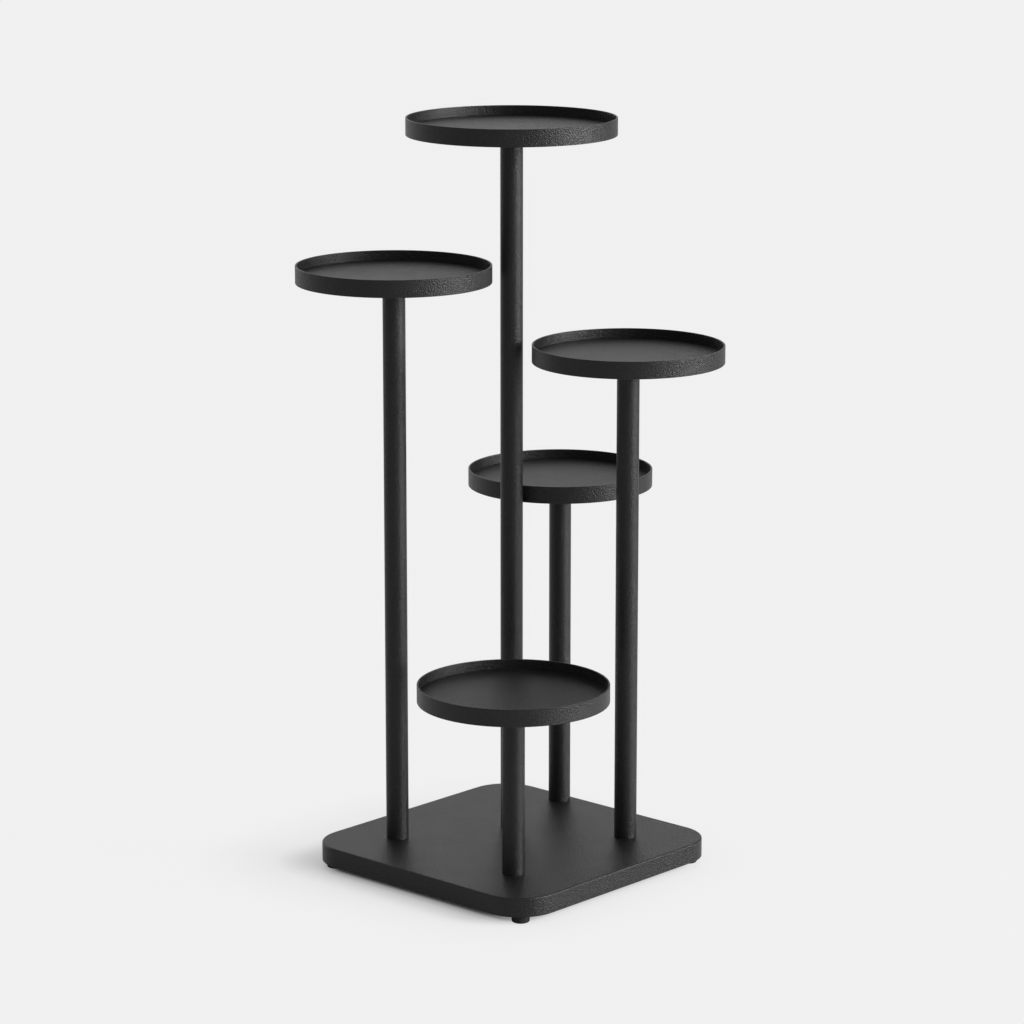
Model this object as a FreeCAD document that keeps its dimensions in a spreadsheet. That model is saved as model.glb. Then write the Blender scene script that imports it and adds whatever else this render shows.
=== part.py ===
"""Tiered plant stand: a square base on four levelling feet, five round posts and five round trays.

Millimetres, +Z up. The origin is the centre of the base, on the floor. The base's sides lie along X and Y.
The tiers are named as they stand when the corner at +X -Y is nearest: centre, left, right, rear and front.
"""
import FreeCAD, Part

import math
import os

import Sketcher

# Every driving size, in millimetres, degrees or counts.
SIZES = {
    # base: a formed steel shell over a steel ballast plate
    "base_side": 334.0,
    "base_corner": 47.0,
    "skirt_height": 21.5,
    "base_sheet": 2.0,
    "base_edge": 1.8,
    "ballast_thickness": 6.0,
    "ballast_gap": 1.0,
    # posts: one size of round tube, with a threaded plug welded in at each end
    "tube_diameter": 25.4,
    "tube_wall": 1.5,
    "plug_length": 25.0,
    "plug_gap": 0.05,
    "plug_edge": 0.6,
    # where the posts stand
    "post_inset": 18.0,
    "rear_x": -61.0,
    "rear_gap": 4.3,
    "side_gap": 13.8,
    "front_gap": 49.8,
    "centre_bearing": -74.7,
    "left_bearing": -121.5,
    "right_bearing": 28.0,
    "front_bearing": -46.9,
    # trays: a floor disc inside a rolled flat band
    "centre_diameter": 235.0,
    "left_diameter": 218.0,
    "right_diameter": 215.0,
    "rear_diameter": 213.0,
    "front_diameter": 212.0,
    "centre_height": 850.0,
    "left_height": 691.0,
    "right_height": 601.0,
    "rear_height": 431.0,
    "front_height": 248.0,
    "band_height": 19.5,
    "band_wall": 2.0,
    "band_edge": 0.4,
    "tray_depth": 11.0,
    "tray_sheet": 1.5,
    "weld_gap": 0.1,
    # tray studs, welded under the floor discs, with a flange that centres them in the tube
    "flange_gap": 1.0,
    "flange_thickness": 1.2,
    "stud_length": 18.0,
    # M8 fasteners
    "thread": 8.0,
    "thread_gap": 0.05,
    "thread_edge": 0.8,
    "clearance_hole": 9.0,
    "hex_flats": 13.0,
    "bolt_head": 5.3,
    "bolt_length": 30.0,
    "washer_diameter": 16.0,
    "washer_thickness": 1.6,
    "nut_height": 6.5,
    # levelling feet
    "foot_inset": 24.5,
    "foot_lift": 9.5,
    "pad_diameter": 20.0,
    "pad_height": 12.0,
    "pad_edge": 2.0,
    "socket_depth": 4.0,
    "lip_thickness": 2.0,
    "button_diameter": 10.0,
    "button_gap": 0.05,
    "stop_gap": 0.3,
    "stem_headroom": 0.5,
}

TIERS = ("rear", "centre", "left", "right", "front")

# Each foot's place as the signs of its X and Y.
FEET = {"front": (1, -1), "right": (1, 1), "rear": (-1, 1), "left": (-1, -1)}

# Heights above the floor that several pieces share, as expressions on the sheet.
BASE_TOP = "(Sizes.foot_lift + Sizes.skirt_height)"
SHEET_UNDERSIDE = f"({BASE_TOP} - Sizes.base_sheet)"
BALLAST_UNDERSIDE = f"({SHEET_UNDERSIDE} - Sizes.ballast_thickness)"
NUT_UNDERSIDE = f"({BALLAST_UNDERSIDE} - Sizes.nut_height)"
STEM_TOP = f"({SHEET_UNDERSIDE} - Sizes.stem_headroom)"
COLLAR_TOP = f"({NUT_UNDERSIDE} - Sizes.stop_gap)"

TUBE_BORE = "(Sizes.tube_diameter - 2 * Sizes.tube_wall)"
PLUG_DIAMETER = f"({TUBE_BORE} - 2 * Sizes.plug_gap)"
FLANGE_DIAMETER = f"({TUBE_BORE} - 2 * Sizes.flange_gap)"
THREAD_BORE = "(Sizes.thread + 2 * Sizes.thread_gap)"
HEX_CIRCLE = "(Sizes.hex_flats / sqrt(3))"

# Rough sizes that sketches are drawn at before their real sizes are bound.
ROUGH_RADIUS = 1.0
ROUGH_HALF_SIDE = 10.0
ROUGH_CORNER = 2.0

# Two heights closer than this are the same.
SAME_HEIGHT = 1e-4

doc = FreeCAD.newDocument("PlantStand")
nodes = []


def make_sheet():
    """The spreadsheet: one row for each driving size, a name and an aliased number."""
    sheet = doc.addObject("Spreadsheet::Sheet", "Sizes")
    for row, (alias, value) in enumerate(SIZES.items(), start=1):
        sheet.set(f"A{row}", alias)
        sheet.set(f"B{row}", str(value))
        sheet.setAlias(f"B{row}", alias)
    doc.recompute()


def place(item, across, along, up):
    """Bind a piece's position to three expressions."""
    for letter, expression in zip("xyz", (across, along, up)):
        item.setExpression(f"Placement.Base.{letter}", expression)


def post_x(tier):
    return f"post_{tier}.Placement.Base.x"


def post_y(tier):
    return f"post_{tier}.Placement.Base.y"


def floor_top(tier):
    """Height of a tray's inner floor above the ground."""
    return f"(Sizes.{tier}_height - Sizes.tray_depth)"


def post_top(tier):
    """Height of a post's upper end, where the tray's floor disc rests on it."""
    return f"({floor_top(tier)} - Sizes.tray_sheet)"


def foot_x(place_name):
    return f"{FEET[place_name][0]} * (Sizes.base_side / 2 - Sizes.foot_inset)"


def foot_y(place_name):
    return f"{FEET[place_name][1]} * (Sizes.base_side / 2 - Sizes.foot_inset)"


def new_body(name, is_node=True):
    """A body labelled with its name; a node is written to its own file."""
    body = doc.addObject("PartDesign::Body", name)
    body.Label = name
    if is_node:
        nodes.append(body)
    return body


def new_sketch(body, name, start="0"):
    """A sketch parallel to the body's XY plane, raised by an expression."""
    sketch = body.newObject("Sketcher::SketchObject", f"{body.Name}_{name}")
    plane = next(item for item in body.Origin.OriginFeatures if item.Role == "XY_Plane")
    sketch.AttachmentSupport = [(plane, "")]
    sketch.MapMode = "FlatFace"
    sketch.setExpression("AttachmentOffset.Base.z", start)
    return sketch


def add_circle(sketch, name, diameter, across="0", along="0"):
    """A circle whose diameter and centre are bound to expressions."""
    rough = Part.Circle(FreeCAD.Vector(0, 0, 0), FreeCAD.Vector(0, 0, 1), ROUGH_RADIUS)
    index = sketch.addGeometry(rough, False)
    if across == "0" and along == "0":
        sketch.addConstraint(Sketcher.Constraint("Coincident", index, 3, -1, 1))
    else:
        for kind, suffix, expression in (
            ("DistanceX", "across", across),
            ("DistanceY", "along", along),
        ):
            number = sketch.addConstraint(Sketcher.Constraint(kind, -1, 1, index, 3, 0.0))
            sketch.renameConstraint(number, f"{name}_{suffix}")
            sketch.setExpression(f"Constraints.{name}_{suffix}", expression)
    number = sketch.addConstraint(Sketcher.Constraint("Diameter", index, 2 * ROUGH_RADIUS))
    sketch.renameConstraint(number, name)
    sketch.setExpression(f"Constraints.{name}", diameter)


def add_hexagon(sketch, circle_radius):
    """A regular hexagon about the origin, with a corner on the X axis."""
    corners = [
        FreeCAD.Vector(math.cos(math.radians(60 * turn)), math.sin(math.radians(60 * turn)), 0)
        for turn in range(6)
    ]
    circle = sketch.addGeometry(Part.Circle(), True)
    sketch.addConstraint(Sketcher.Constraint("Coincident", circle, 3, -1, 1))
    sides = []
    for corner, following in zip(corners, corners[1:] + corners[:1]):
        sides.append(sketch.addGeometry(Part.LineSegment(corner, following), False))
    for side, following in zip(sides, sides[1:] + sides[:1]):
        sketch.addConstraint(Sketcher.Constraint("Coincident", side, 2, following, 1))
        sketch.addConstraint(Sketcher.Constraint("PointOnObject", side, 1, circle))
    for side in sides[1:]:
        sketch.addConstraint(Sketcher.Constraint("Equal", sides[0], side))
    sketch.addConstraint(Sketcher.Constraint("PointOnObject", sides[0], 1, -1))
    number = sketch.addConstraint(Sketcher.Constraint("Radius", circle, ROUGH_RADIUS))
    sketch.renameConstraint(number, "corner_circle")
    sketch.setExpression("Constraints.corner_circle", circle_radius)


def add_rounded_square(sketch, side, corner):
    """A square about the origin with rounded corners: four lines joined by four arcs."""
    half, radius = ROUGH_HALF_SIDE, ROUGH_CORNER
    flat = half - radius
    ends = [((-flat, -half), (flat, -half)), ((half, -flat), (half, flat))]
    ends += [((flat, half), (-flat, half)), ((-half, flat), (-half, -flat))]
    centres = [(flat, -flat), (flat, flat), (-flat, flat), (-flat, -flat)]
    lines = []
    for first, last in ends:
        edge = Part.LineSegment(FreeCAD.Vector(*first, 0), FreeCAD.Vector(*last, 0))
        lines.append(sketch.addGeometry(edge, False))
    arcs = []
    for turn, centre in enumerate(centres):
        circle = Part.Circle(FreeCAD.Vector(*centre, 0), FreeCAD.Vector(0, 0, 1), radius)
        start = math.radians(90 * turn - 90)
        arcs.append(sketch.addGeometry(Part.ArcOfCircle(circle, start, start + math.pi / 2), False))
    for turn in range(4):
        following = lines[(turn + 1) % 4]
        sketch.addConstraint(Sketcher.Constraint("Tangent", lines[turn], 2, arcs[turn], 1))
        sketch.addConstraint(Sketcher.Constraint("Tangent", arcs[turn], 2, following, 1))
    for turn in (0, 2):
        sketch.addConstraint(Sketcher.Constraint("Horizontal", lines[turn]))
        sketch.addConstraint(Sketcher.Constraint("Vertical", lines[turn + 1]))
    for arc in arcs[1:]:
        sketch.addConstraint(Sketcher.Constraint("Equal", arcs[0], arc))
    sketch.addConstraint(Sketcher.Constraint("Symmetric", lines[0], 1, lines[2], 1, -1, 1))
    for name, constraint, expression in (
        ("corner", Sketcher.Constraint("Radius", arcs[0], radius), corner),
        ("width", Sketcher.Constraint("DistanceX", lines[3], 1, lines[1], 1, 2 * half), side),
        ("depth", Sketcher.Constraint("DistanceY", lines[0], 1, lines[2], 1, 2 * half), side),
    ):
        number = sketch.addConstraint(constraint)
        sketch.renameConstraint(number, name)
        sketch.setExpression(f"Constraints.{name}", expression)


def add_pad(body, name, sketch, length):
    """Raise a sketch upwards by a length."""
    pad = body.newObject("PartDesign::Pad", f"{body.Name}_{name}_pad")
    pad.Profile = sketch
    pad.setExpression("Length", length)
    doc.recompute()
    return pad


def add_pocket(body, name, sketch, length):
    """Cut upwards from a sketch by a length, and make sure that it removed something."""
    before = body.Shape.Volume
    pocket = body.newObject("PartDesign::Pocket", f"{body.Name}_{name}_cut")
    pocket.Profile = sketch
    pocket.Reversed = True
    pocket.setExpression("Length", length)
    doc.recompute()
    if body.Shape.Volume >= before:
        raise RuntimeError(f"{pocket.Name} cut nothing")
    return pocket


def add_disc(body, name, diameter, start, length):
    """A round pad about the body's axis."""
    sketch = new_sketch(body, name, start)
    add_circle(sketch, "outer", diameter)
    return add_pad(body, name, sketch, length)


def add_ring(body, name, outer, inner, start, length):
    """A round pad with a bore, about the body's axis."""
    sketch = new_sketch(body, name, start)
    add_circle(sketch, "outer", outer)
    add_circle(sketch, "inner", inner)
    return add_pad(body, name, sketch, length)


def add_bore(body, name, diameter, start, length):
    """A round hole about the body's axis."""
    sketch = new_sketch(body, name, start)
    add_circle(sketch, "bore", diameter)
    return add_pocket(body, name, sketch, length)


def edges_at(feature, heights):
    """Names of a feature's edges that lie flat at one of these heights."""
    names = []
    for number, edge in enumerate(feature.Shape.Edges, start=1):
        low, high = edge.BoundBox.ZMin, edge.BoundBox.ZMax
        if any(max(abs(low - z), abs(high - z)) < SAME_HEIGHT for z in heights):
            names.append(f"Edge{number}")
    return names


def dress(body, kind, feature, edge_names, size):
    """Round or bevel the named edges of a feature."""
    dressed = body.newObject(f"PartDesign::{kind}", f"{body.Name}_{kind.lower()}")
    dressed.Base = (feature, edge_names)
    dressed.setExpression("Radius" if kind == "Fillet" else "Size", size)
    doc.recompute()
    return dressed


def cell(alias):
    return float(getattr(doc.Sizes, alias))


def make_post(tier):
    """A round tube, from the base's top to the underside of its tray's floor disc."""
    body = new_body(f"post_{tier}")
    length = f"{post_top(tier)} - {BASE_TOP}"
    add_ring(body, "tube", "Sizes.tube_diameter", TUBE_BORE, "0", length)
    if tier == "rear":
        # this post stands beside the base's rear edge
        across = "Sizes.rear_x * 1 mm"
        along = "(Sizes.base_side / 2 - Sizes.post_inset) * 1 mm"
    else:
        # the centre post clears the rear tray's rim; every other tray's rim clears the centre post
        start, tray, gap = {
            "centre": ("rear", "rear", "rear_gap"),
            "left": ("centre", "left", "side_gap"),
            "right": ("centre", "right", "side_gap"),
            "front": ("centre", "front", "front_gap"),
        }[tier]
        reach = f"(Sizes.{tray}_diameter / 2 + Sizes.tube_diameter / 2 + Sizes.{gap}) * 1 mm"
        turn = f"(Sizes.{tier}_bearing * 1 deg)"
        across = f"{post_x(start)} + {reach} * cos{turn}"
        along = f"{post_y(start)} + {reach} * sin{turn}"
    place(body, across, along, BASE_TOP)


def make_bottom_plug(tier):
    """A round steel plug in the post's lower end, tapped from below for the post's bolt."""
    body = new_body(f"bottom_plug_{tier}")
    pad = add_disc(body, "plug", PLUG_DIAMETER, "0", "Sizes.plug_length")
    dress(body, "Chamfer", pad, edges_at(pad, (0.0, cell("plug_length"))), "Sizes.plug_edge")
    depth = f"Sizes.bolt_length - Sizes.washer_thickness - {BASE_TOP} + {BALLAST_UNDERSIDE}"
    add_bore(body, "thread", THREAD_BORE, "0", f"{depth} + Sizes.thread_edge")
    place(body, post_x(tier), post_y(tier), BASE_TOP)


def make_top_plug(tier):
    """A round steel plug in the post's upper end, tapped through for the tray's stud."""
    body = new_body(f"top_plug_{tier}")
    pad = add_disc(body, "plug", PLUG_DIAMETER, "0", "Sizes.plug_length")
    dress(body, "Chamfer", pad, edges_at(pad, (0.0, cell("plug_length"))), "Sizes.plug_edge")
    add_bore(body, "thread", THREAD_BORE, "0", "Sizes.plug_length")
    low = f"{post_top(tier)} - Sizes.flange_thickness - Sizes.plug_length"
    place(body, post_x(tier), post_y(tier), low)


def make_tray_floor(tier):
    """A flat disc that rests on the post and fills the band."""
    body = new_body(f"tray_floor_{tier}")
    diameter = f"Sizes.{tier}_diameter - 2 * (Sizes.band_wall + Sizes.weld_gap)"
    add_disc(body, "disc", diameter, "0", "Sizes.tray_sheet")
    place(body, post_x(tier), post_y(tier), post_top(tier))


def make_tray_band(tier):
    """A flat band rolled into the tray's rim, with eased edges."""
    body = new_body(f"tray_band_{tier}")
    outer = f"Sizes.{tier}_diameter"
    ring = add_ring(body, "band", outer, f"{outer} - 2 * Sizes.band_wall", "0", "Sizes.band_height")
    dress(body, "Fillet", ring, edges_at(ring, (0.0, cell("band_height"))), "Sizes.band_edge")
    place(body, post_x(tier), post_y(tier), f"Sizes.{tier}_height - Sizes.band_height")


def make_tray_stud(tier):
    """A flanged stud welded under the tray's floor; its flange lies in the mouth of the tube."""
    body = new_body(f"tray_stud_{tier}")
    shank = add_disc(body, "shank", "Sizes.thread", "0", "Sizes.stud_length")
    dress(body, "Chamfer", shank, edges_at(shank, (0.0,)), "Sizes.thread_edge")
    add_disc(body, "flange", FLANGE_DIAMETER, "Sizes.stud_length", "Sizes.flange_thickness")
    low = f"{post_top(tier)} - Sizes.flange_thickness - Sizes.stud_length"
    place(body, post_x(tier), post_y(tier), low)


def make_base_shell():
    """A square steel pan, open below, with rounded corners and a hole for each post's bolt."""
    body = new_body("base_shell")
    outline = new_sketch(body, "outline")
    add_rounded_square(outline, "Sizes.base_side", "Sizes.base_corner")
    slab = add_pad(body, "outline", outline, "Sizes.skirt_height")
    dress(body, "Fillet", slab, edges_at(slab, (cell("skirt_height"),)), "Sizes.base_edge")
    hollow = new_sketch(body, "hollow")
    inner_side = "Sizes.base_side - 2 * Sizes.base_sheet"
    add_rounded_square(hollow, inner_side, "Sizes.base_corner - Sizes.base_sheet")
    add_pocket(body, "hollow", hollow, "Sizes.skirt_height - Sizes.base_sheet")
    holes = new_sketch(body, "holes")
    for tier in TIERS:
        add_circle(holes, tier, "Sizes.clearance_hole", post_x(tier), post_y(tier))
    add_pocket(body, "holes", holes, "Sizes.skirt_height")
    place(body, "0", "0", "Sizes.foot_lift")


def make_ballast_plate():
    """A thick steel plate under the shell's top, holed for the posts' bolts and the feet's stems."""
    body = new_body("ballast_plate")
    outline = new_sketch(body, "outline")
    step = "(Sizes.base_sheet + Sizes.ballast_gap)"
    side = f"Sizes.base_side - 2 * {step}"
    add_rounded_square(outline, side, f"Sizes.base_corner - {step}")
    add_pad(body, "outline", outline, "Sizes.ballast_thickness")
    holes = new_sketch(body, "holes")
    for tier in TIERS:
        add_circle(holes, f"bolt_{tier}", "Sizes.clearance_hole", post_x(tier), post_y(tier))
    for foot in FEET:
        add_circle(holes, f"stem_{foot}", "Sizes.clearance_hole", foot_x(foot), foot_y(foot))
    add_pocket(body, "holes", holes, "Sizes.ballast_thickness")
    place(body, "0", "0", BALLAST_UNDERSIDE)


def make_group(name, members):
    """Identical fasteners, each a separate solid, in one node."""
    group = doc.addObject("Part::Compound", name)
    group.Label = name
    group.Links = members
    nodes.append(group)


def make_bolt(tier):
    """A hexagon-head bolt that clamps a post to the base from below."""
    body = new_body(f"post_bolt_{tier}", is_node=False)
    head = new_sketch(body, "head")
    add_hexagon(head, HEX_CIRCLE)
    add_pad(body, "head", head, "Sizes.bolt_head")
    shank = add_disc(body, "shank", "Sizes.thread", "Sizes.bolt_head", "Sizes.bolt_length")
    tip = cell("bolt_head") + cell("bolt_length")
    dress(body, "Chamfer", shank, edges_at(shank, (tip,)), "Sizes.thread_edge")
    low = f"{BALLAST_UNDERSIDE} - Sizes.washer_thickness - Sizes.bolt_head"
    place(body, post_x(tier), post_y(tier), low)
    return body


def make_washer(tier):
    """A flat washer between a bolt's head and the ballast plate."""
    body = new_body(f"post_washer_{tier}", is_node=False)
    hole = "Sizes.clearance_hole"
    add_ring(body, "washer", "Sizes.washer_diameter", hole, "0", "Sizes.washer_thickness")
    place(body, post_x(tier), post_y(tier), f"{BALLAST_UNDERSIDE} - Sizes.washer_thickness")
    return body


def make_nut(foot):
    """A hexagon nut welded under the ballast plate, which a foot's stem turns in."""
    body = new_body(f"foot_nut_{foot}", is_node=False)
    outline = new_sketch(body, "outline")
    add_hexagon(outline, HEX_CIRCLE)
    add_pad(body, "outline", outline, "Sizes.nut_height")
    add_bore(body, "thread", THREAD_BORE, "0", "Sizes.nut_height")
    place(body, foot_x(foot), foot_y(foot), NUT_UNDERSIDE)
    return body


def make_foot_stem(foot):
    """A threaded stem with a collar for a spanner, and a button below that snaps into the pad."""
    body = new_body(f"foot_stem_{foot}")
    lip = "(Sizes.socket_depth - Sizes.lip_thickness)"
    add_disc(body, "button", "Sizes.button_diameter", "0", f"{lip} - Sizes.button_gap")
    add_disc(body, "neck", "Sizes.thread", "0", "Sizes.socket_depth")
    collar = new_sketch(body, "collar", "Sizes.socket_depth")
    add_hexagon(collar, HEX_CIRCLE)
    add_pad(body, "collar", collar, f"{COLLAR_TOP} - Sizes.pad_height")
    low = "Sizes.pad_height - Sizes.socket_depth"
    shank_start = f"{COLLAR_TOP} - ({low})"
    shank = add_disc(body, "shank", "Sizes.thread", shank_start, f"{STEM_TOP} - {COLLAR_TOP}")
    tip = max(vertex.Z for vertex in shank.Shape.Vertexes)
    dress(body, "Chamfer", shank, edges_at(shank, (tip,)), "Sizes.thread_edge")
    place(body, foot_x(foot), foot_y(foot), low)


def make_foot_pad(foot):
    """A round pad with a rounded lower edge and a socket for the stem's button."""
    body = new_body(f"foot_pad_{foot}")
    pad = add_disc(body, "pad", "Sizes.pad_diameter", "0", "Sizes.pad_height")
    dress(body, "Fillet", pad, edges_at(pad, (0.0,)), "Sizes.pad_edge")
    low = "Sizes.pad_height - Sizes.socket_depth"
    socket = "Sizes.button_diameter + 2 * Sizes.button_gap"
    add_bore(body, "socket", socket, low, "Sizes.socket_depth - Sizes.lip_thickness")
    add_bore(body, "mouth", THREAD_BORE, low, "Sizes.socket_depth")
    place(body, foot_x(foot), foot_y(foot), "0")


def check_document():
    """Stop if any object failed or any node's shape isn't sound."""
    doc.recompute()
    for item in doc.Objects:
        if "Invalid" in item.State or "Error" in item.State:
            raise RuntimeError(f"{item.Name} failed: {item.State}")
    for node in nodes:
        if node.Shape.isNull() or not node.Shape.isValid() or not node.Shape.Solids:
            raise RuntimeError(f"{node.Label} has no sound shape")


def write_parts():
    """Write each node to its own file, named by its label."""
    os.makedirs("parts", exist_ok=True)
    for node in nodes:
        node.Shape.exportStep(f"parts/{node.Label}.step")
        box = node.Shape.BoundBox
        print(
            f"{node.Label:22s} solids {len(node.Shape.Solids)}  volume {node.Shape.Volume:11.1f}"
            f"  z {box.ZMin:7.2f} to {box.ZMax:7.2f}"
        )


def main():
    make_sheet()
    for tier in TIERS:
        make_post(tier)
        doc.recompute()
    for tier in TIERS:
        make_bottom_plug(tier)
        make_top_plug(tier)
        make_tray_floor(tier)
        make_tray_band(tier)
        make_tray_stud(tier)
    make_base_shell()
    make_ballast_plate()
    make_group("post_bolts", [make_bolt(tier) for tier in TIERS])
    make_group("post_washers", [make_washer(tier) for tier in TIERS])
    make_group("foot_nuts", [make_nut(foot) for foot in FEET])
    for foot in FEET:
        make_foot_stem(foot)
        make_foot_pad(foot)
    check_document()
    write_parts()


main()
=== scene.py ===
"""Looks for the tiered plant stand: textured powder coat, steel and rubber, on a pale studio floor."""

import math

import bpy
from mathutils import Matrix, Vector


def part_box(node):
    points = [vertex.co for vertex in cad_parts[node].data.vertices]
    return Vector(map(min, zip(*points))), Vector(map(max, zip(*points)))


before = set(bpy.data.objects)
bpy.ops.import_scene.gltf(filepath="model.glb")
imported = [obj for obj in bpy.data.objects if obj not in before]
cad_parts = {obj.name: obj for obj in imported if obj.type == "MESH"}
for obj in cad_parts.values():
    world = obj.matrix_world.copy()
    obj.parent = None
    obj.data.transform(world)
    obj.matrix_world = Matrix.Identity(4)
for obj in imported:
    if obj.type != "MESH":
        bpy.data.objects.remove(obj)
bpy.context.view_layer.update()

TIERS = ("centre", "left", "right", "rear", "front")
FEET = ("front", "right", "rear", "left")

# Half of the base's side, and its corners' radius.
BASE_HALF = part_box("base_shell")[1].x
BASE_CORNER = 0.047

# The powder coat: its darkest and lightest grey, its roughness, the width of a pebble and the depth of the
# relief. Its index of refraction is low, so that the lit sides stay dark.
COAT_DARK, COAT_LIGHT = 0.004, 0.028
COAT_ROUGHNESS = 0.38
COAT_IOR = 1.35
GRAIN = 0.0014
RELIEF = 0.00065

# The tones of the background and of the floor's own colour, and half of the floor's side.
PALE = 0.88
FLOOR_TONE = 0.83
FLOOR_HALF = 60.0

# How much of the background's tone is mixed into the floor as a glow: under the base's edge, round the
# base, and further out. Where the glow is less, near the base and moved towards -X -Y, the floor's shadow
# is partly real shading and partly painted shadow. Together they stay just under 1. Each is a shift of the
# base's outline in X and Y, the distances outside it at which the tone starts and is full, and its share.
SHADOW_PAINTING_GLOW_EDGE = (0.002, 0.002), (-0.02, -0.01), 0.27
SHADOW_PAINTING_GLOW_ROUND = (0.04, 0.006), (-0.03, 0.03), 0.5
SHADOW_PAINTING_GLOW_FAR = (0.04, 0.0), (0.0, 0.14), 0.2

# The photograph's view.
CAMERA_PLACE = (2.7376, -2.9955, 1.3208)
CAMERA_PITCH = math.radians(12.62)
CAMERA_TURN = math.radians(42.43)
CAMERA_LENS = 130.66


# ---------------------------------------------------------------- node helpers


class Tree:
    """A material's or world's node tree, with short calls for what is used here."""

    def __init__(self, owner):
        owner.use_nodes = True
        self.nodes = owner.node_tree.nodes
        self.links = owner.node_tree.links
        self.nodes.clear()

    def add(self, kind, inputs=None, **settings):
        """A node with its settings and input values; an input may be another node's socket."""
        node = self.nodes.new(kind)
        for name, value in settings.items():
            setattr(node, name, value)
        for name, value in (inputs or {}).items():
            if isinstance(value, bpy.types.NodeSocket):
                self.links.new(value, node.inputs[name])
            else:
                node.inputs[name].default_value = value
        return node

    def math(self, operation, first, second=0.0, clamp=False):
        node = self.add("ShaderNodeMath", {0: first, 1: second}, operation=operation, use_clamp=clamp)
        return node.outputs[0]

    def ramp(self, value, low, high, to_low=0.0, to_high=1.0):
        """A smooth change of value from one range to another."""
        inputs = {"Value": value, "From Min": low, "From Max": high, "To Min": to_low, "To Max": to_high}
        node = self.add("ShaderNodeMapRange", inputs, interpolation_type="SMOOTHSTEP")
        return node.outputs["Result"]

    def noise(self, where, scale, detail=2.0, roughness=0.5):
        inputs = {"Vector": where, "Scale": scale, "Detail": detail, "Roughness": roughness}
        return self.add("ShaderNodeTexNoise", inputs).outputs["Fac"]

    def mix_colour(self, factor, first, second):
        node = self.add("ShaderNodeMix", data_type="RGBA", blend_type="MIX")
        for socket, value in ((node.inputs[0], factor), (node.inputs[6], first), (node.inputs[7], second)):
            if isinstance(value, bpy.types.NodeSocket):
                self.links.new(value, socket)
            else:
                socket.default_value = value
        return node.outputs[2]


def grey(level, warm=0.0):
    """A neutral colour, a little warm or cool."""
    return (level * (1 + warm), level, level * (1 - warm), 1.0)


# ---------------------------------------------------------------- materials


def powder_coat(name, dark, light, roughness, grain, relief):
    """Fine-textured powder coat: pebbled grain, small colour drift, pale flecks and worn edges."""
    material = bpy.data.materials.new(name)
    tree = Tree(material)
    where = tree.add("ShaderNodeTexCoord").outputs["Object"]

    # the pebbled skin: rounded cells with finer grit between them
    cells = tree.add("ShaderNodeTexVoronoi", {"Vector": where, "Scale": 1 / grain, "Randomness": 1.0},
                     feature="SMOOTH_F1")
    cells.inputs["Smoothness"].default_value = 0.6
    grit = tree.noise(where, 1 / grain, 3.0, 0.6)
    pebble = tree.math("SUBTRACT", 1.0, cells.outputs["Distance"])
    height = tree.math("ADD", tree.math("MULTIPLY", pebble, 0.55), tree.math("MULTIPLY", grit, 0.75))

    # eased edges face neither up nor sideways: the coat thins and polishes there
    facing = tree.add("ShaderNodeNewGeometry").outputs["True Normal"]
    upward = tree.math("ABSOLUTE", tree.add("ShaderNodeSeparateXYZ", {0: facing}).outputs["Z"])
    worn = tree.math("MULTIPLY", tree.ramp(upward, 0.1, 0.35), tree.ramp(upward, 0.95, 0.8))

    drift = tree.noise(where, 40.0, 4.0, 0.6)
    fleck = tree.ramp(grit, 0.52, 0.7)
    tone = tree.math("ADD", tree.math("MULTIPLY", fleck, 0.4), tree.math("MULTIPLY", drift, 0.15))
    tone = tree.math("ADD", tone, tree.math("MULTIPLY", worn, 0.15), clamp=True)
    colour = tree.mix_colour(tone, grey(dark), grey(light))
    rough = tree.ramp(tree.math("ADD", tree.math("MULTIPLY", drift, 0.3), grit), 0.4, 0.9,
                      roughness - 0.04, roughness + 0.05)
    rough = tree.math("SUBTRACT", rough, tree.math("MULTIPLY", worn, 0.06))

    bump = tree.add("ShaderNodeBump", {"Strength": 1.0, "Distance": relief, "Height": height})
    shader = tree.add("ShaderNodeBsdfPrincipled", {"Base Color": colour, "Roughness": rough,
                                                   "Normal": bump.outputs["Normal"]})
    shader.inputs["IOR"].default_value = COAT_IOR
    tree.add("ShaderNodeOutputMaterial", {"Surface": shader.outputs["BSDF"]})
    return material


def steel(name, colour, roughness, streak):
    """Plated or turned steel: fine streaks, mottled roughness and small scratches."""
    material = bpy.data.materials.new(name)
    tree = Tree(material)
    where = tree.add("ShaderNodeTexCoord").outputs["Object"]
    stretched = tree.add("ShaderNodeMapping", {"Vector": where, "Scale": streak}).outputs["Vector"]
    lines = tree.noise(stretched, 1.0, 4.0, 0.6)
    blotch = tree.noise(where, 160.0, 3.0, 0.6)
    tone = tree.ramp(tree.math("ADD", lines, blotch), 0.7, 1.3)
    dark = tuple(channel * 0.72 for channel in colour[:3]) + (1.0,)
    shade = tree.mix_colour(tone, dark, colour)
    rough = tree.ramp(blotch, 0.3, 0.7, roughness - 0.07, roughness + 0.1)
    bump = tree.add("ShaderNodeBump", {"Strength": 0.6, "Distance": 0.00004, "Height": lines})
    shader = tree.add("ShaderNodeBsdfPrincipled", {"Base Color": shade, "Roughness": rough,
                                                   "Normal": bump.outputs["Normal"]})
    shader.inputs["Metallic"].default_value = 1.0
    tree.add("ShaderNodeOutputMaterial", {"Surface": shader.outputs["BSDF"]})
    return material


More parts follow.
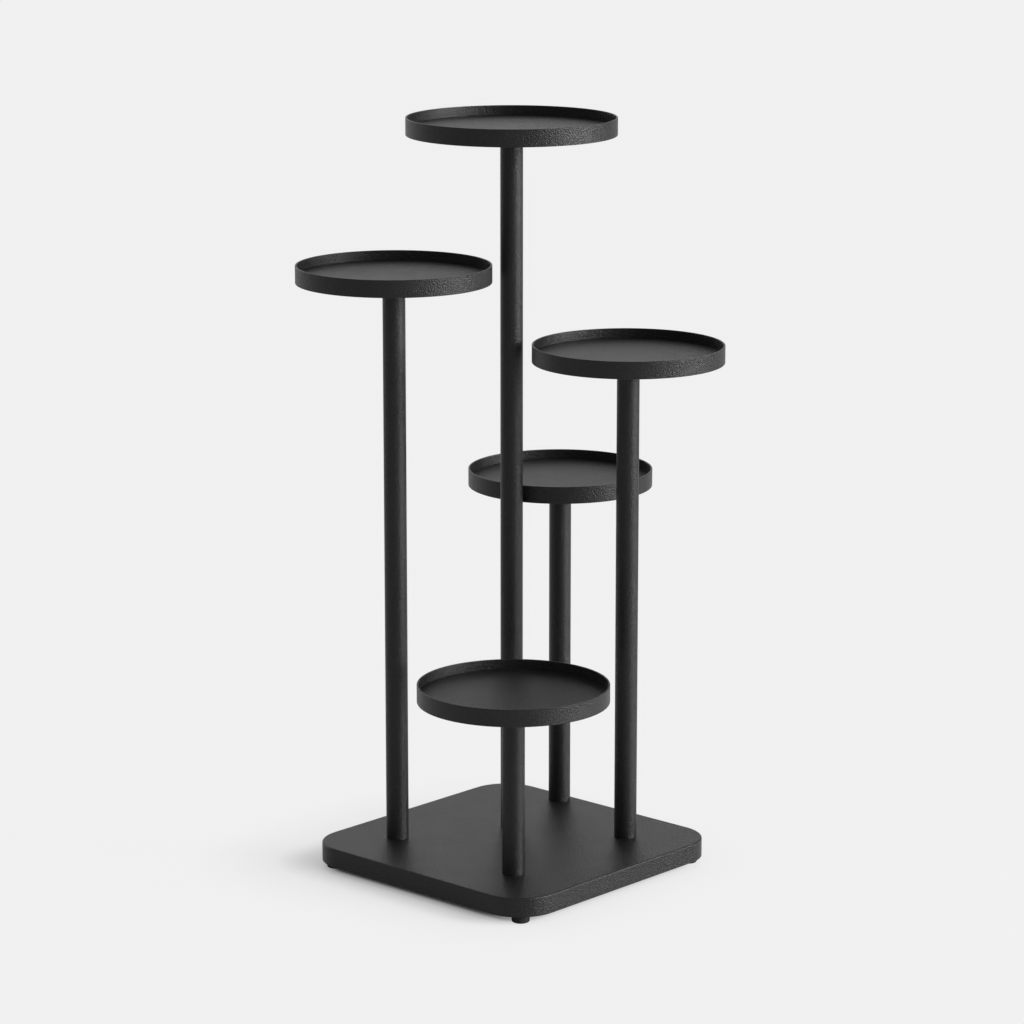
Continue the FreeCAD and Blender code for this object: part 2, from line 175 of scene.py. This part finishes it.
def rubber(name):
    """Moulded black rubber: dusty bloom, fine moulding grain."""
    material = bpy.data.materials.new(name)
    tree = Tree(material)
    where = tree.add("ShaderNodeTexCoord").outputs["Object"]
    grain = tree.noise(where, 1400.0, 2.0, 0.6)
    bloom = tree.noise(where, 130.0, 4.0, 0.6)
    colour = tree.mix_colour(tree.ramp(bloom, 0.4, 0.75), grey(0.009), grey(0.022, 0.03))
    rough = tree.ramp(bloom, 0.3, 0.7, 0.62, 0.8)
    bump = tree.add("ShaderNodeBump", {"Strength": 0.7, "Distance": 0.00004, "Height": grain})
    shader = tree.add("ShaderNodeBsdfPrincipled", {"Base Color": colour, "Roughness": rough,
                                                   "Normal": bump.outputs["Normal"]})
    shader.inputs["Specular IOR Level"].default_value = 0.25
    tree.add("ShaderNodeOutputMaterial", {"Surface": shader.outputs["BSDF"]})
    return material


def give(nodes, material):
    """Put one material on every slot of these CAD nodes."""
    for node in nodes:
        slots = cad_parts[node].data.materials
        slots.clear()
        slots.append(material)


coat = powder_coat("powder_coat", COAT_DARK, COAT_LIGHT, COAT_ROUGHNESS, GRAIN, RELIEF)
give([f"post_{tier}" for tier in TIERS], coat)
give([f"tray_{piece}_{tier}" for tier in TIERS for piece in ("floor", "band")], coat)
give(["base_shell"], coat)
give(["ballast_plate"], powder_coat("primer", 0.012, 0.03, 0.66, grain=0.0009, relief=0.00006))
zinc = steel("zinc_plate", (0.55, 0.56, 0.58, 1.0), 0.3, (300.0, 300.0, 1500.0))
turned = steel("turned_steel", (0.42, 0.42, 0.43, 1.0), 0.36, (120.0, 120.0, 2600.0))
give(["post_bolts", "post_washers", "foot_nuts"], zinc)
give([f"tray_stud_{tier}" for tier in TIERS] + [f"foot_stem_{foot}" for foot in FEET], zinc)
give([f"{end}_plug_{tier}" for tier in TIERS for end in ("bottom", "top")], turned)
give([f"foot_pad_{foot}" for foot in FEET], rubber("foot_rubber"))


# ---------------------------------------------------------------- floor, light and camera


def make_floor():
    """A wide pale floor. The camera sees the background's tone mixed in as a glow, least round the base, so
    the shadow there is partly real shading and partly painted shadow.
    """
    mesh = bpy.data.meshes.new("studio_floor")
    corners = [(across * FLOOR_HALF, along * FLOOR_HALF, 0)
               for across, along in ((-1, -1), (1, -1), (1, 1), (-1, 1))]
    mesh.from_pydata(corners, [], [(0, 1, 2, 3)])
    floor = bpy.data.objects.new("studio_floor", mesh)
    bpy.context.scene.collection.objects.link(floor)
    material = bpy.data.materials.new("studio_floor")
    tree = Tree(material)
    where = tree.add("ShaderNodeSeparateXYZ", {0: tree.add("ShaderNodeTexCoord").outputs["Object"]}).outputs

    def shadow_painting_glow_part(shifts, distances, share):
        """A share of glow that grows outside the base's outline, moved towards -X -Y, away from the key
        light, so that the dimmer floor near the base paints a shadow cast to the left.
        """
        reach = []
        for axis, shift in zip("XY", shifts):
            past = tree.math("SUBTRACT", tree.math("ABSOLUTE", tree.math("ADD", where[axis], shift)),
                             BASE_HALF - BASE_CORNER)
            reach.append(tree.math("POWER", tree.math("MAXIMUM", past, 0.0), 2.0))
        outside = tree.math("SUBTRACT", tree.math("SQRT", tree.math("ADD", *reach)), BASE_CORNER)
        return tree.math("MULTIPLY", tree.ramp(outside, *distances), share)

    edge, near, far = (shadow_painting_glow_part(*part) for part in (SHADOW_PAINTING_GLOW_EDGE, SHADOW_PAINTING_GLOW_ROUND, SHADOW_PAINTING_GLOW_FAR))
    seen = tree.add("ShaderNodeLightPath").outputs["Is Camera Ray"]
    # The glow's share is least near the base: the floor's shadow there is partly real shading and partly
    # painted shadow.
    glow_round_painted_shadow = tree.math("MULTIPLY", tree.math("ADD", tree.math("ADD", edge, near), far), seen)
    shader = tree.add("ShaderNodeBsdfPrincipled", {"Base Color": grey(FLOOR_TONE), "Roughness": 0.9})
    shader.inputs["Specular IOR Level"].default_value = 0.2
    glow = tree.add("ShaderNodeEmission", {"Color": grey(PALE), "Strength": 1.0})
    mixed = tree.add("ShaderNodeMixShader", {0: glow_round_painted_shadow, 1: shader.outputs[0], 2: glow.outputs[0]})
    tree.add("ShaderNodeOutputMaterial", {"Surface": mixed.outputs[0]})
    mesh.materials.append(material)


def make_world(dark, *sources):
    """Soft light: an even dim level, and broad sources.

    Each source is a direction, the cosines at which it starts and is full, and its strength.
    """
    world = bpy.data.worlds.new("studio")
    bpy.context.scene.world = world
    tree = Tree(world)
    path = tree.add("ShaderNodeLightPath")
    direction = tree.add("ShaderNodeTexCoord").outputs["Generated"]
    level = dark
    for aim, start, full, strength in sources:
        towards = tree.add("ShaderNodeVectorMath", {0: direction, 1: tuple(aim)}, operation="DOT_PRODUCT")
        level = tree.math("ADD", tree.ramp(towards.outputs["Value"], start, full, 0.0, strength), level)
    light = tree.add("ShaderNodeBackground", {"Color": (1, 1, 1, 1), "Strength": level})
    plain = tree.add("ShaderNodeBackground", {"Color": grey(PALE), "Strength": 1.0})
    mixed = tree.add("ShaderNodeMixShader", {0: path.outputs["Is Camera Ray"], 1: light.outputs[0],
                                             2: plain.outputs[0]})
    tree.add("ShaderNodeOutputWorld", {"Surface": mixed.outputs[0]})


def make_softbox(power, size, place, aim_height):
    """A square light turned to this height on the Z axis. It lights the upper trays more than the base."""
    data = bpy.data.lights.new("softbox", "AREA")
    data.energy = power
    data.size = size
    lamp = bpy.data.objects.new("softbox", data)
    lamp.location = place
    lamp.rotation_mode = "QUATERNION"
    lamp.rotation_quaternion = (lamp.location - Vector((0, 0, aim_height))).to_track_quat("Z", "Y")
    lamp.visible_camera = False
    bpy.context.scene.collection.objects.link(lamp)


def make_camera():
    """The photograph's view: a long lens, a little above the stand and off its front corner."""
    data = bpy.data.cameras.new("camera")
    data.sensor_width = 36.0
    data.lens = CAMERA_LENS
    data.clip_start = 0.1
    data.clip_end = 300.0
    camera = bpy.data.objects.new("camera", data)
    camera.location = CAMERA_PLACE
    level = math.cos(CAMERA_PITCH)
    ahead = Vector((-math.sin(CAMERA_TURN) * level, math.cos(CAMERA_TURN) * level, -math.sin(CAMERA_PITCH)))
    camera.rotation_mode = "QUATERNION"
    camera.rotation_quaternion = ahead.to_track_quat("-Z", "Y")
    bpy.context.scene.collection.objects.link(camera)
    bpy.context.scene.camera = camera


def from_camera(right, up, back):
    """A direction given as seen from the camera: to its right, upwards, and towards it."""
    across = Vector((math.cos(CAMERA_TURN), math.sin(CAMERA_TURN), 0))
    away = Vector((-math.sin(CAMERA_TURN), math.cos(CAMERA_TURN), 0))
    return (across * right + Vector((0, 0, up)) - away * back).normalized()


make_floor()

# Each source is a direction, the cosines at which it starts and is full, and its strength.
AMBIENT = 0.39
OVERHEAD = Vector((0, 0, 1)), 0.3, 0.9, 0.37
BEHIND = from_camera(0.0, 0.2, -1.0), 0.95, 0.995, 0.6
BEHIND_LEFT = from_camera(-0.6, 0.15, -1.0), 0.94, 0.995, 1.3
KEY = from_camera(1.0, 0.05, 0.25), 0.94, 0.99, 24.0
make_world(AMBIENT, OVERHEAD, BEHIND, BEHIND_LEFT, KEY)

SOFTBOX_PLACE = from_camera(1.0, 0.0, 0.25) * 2.0 + Vector((0, 0, 1.3))
make_softbox(power=26.0, size=0.8, place=SOFTBOX_PLACE, aim_height=0.7)

make_camera()
bpy.context.scene.view_settings.view_transform = "Standard"
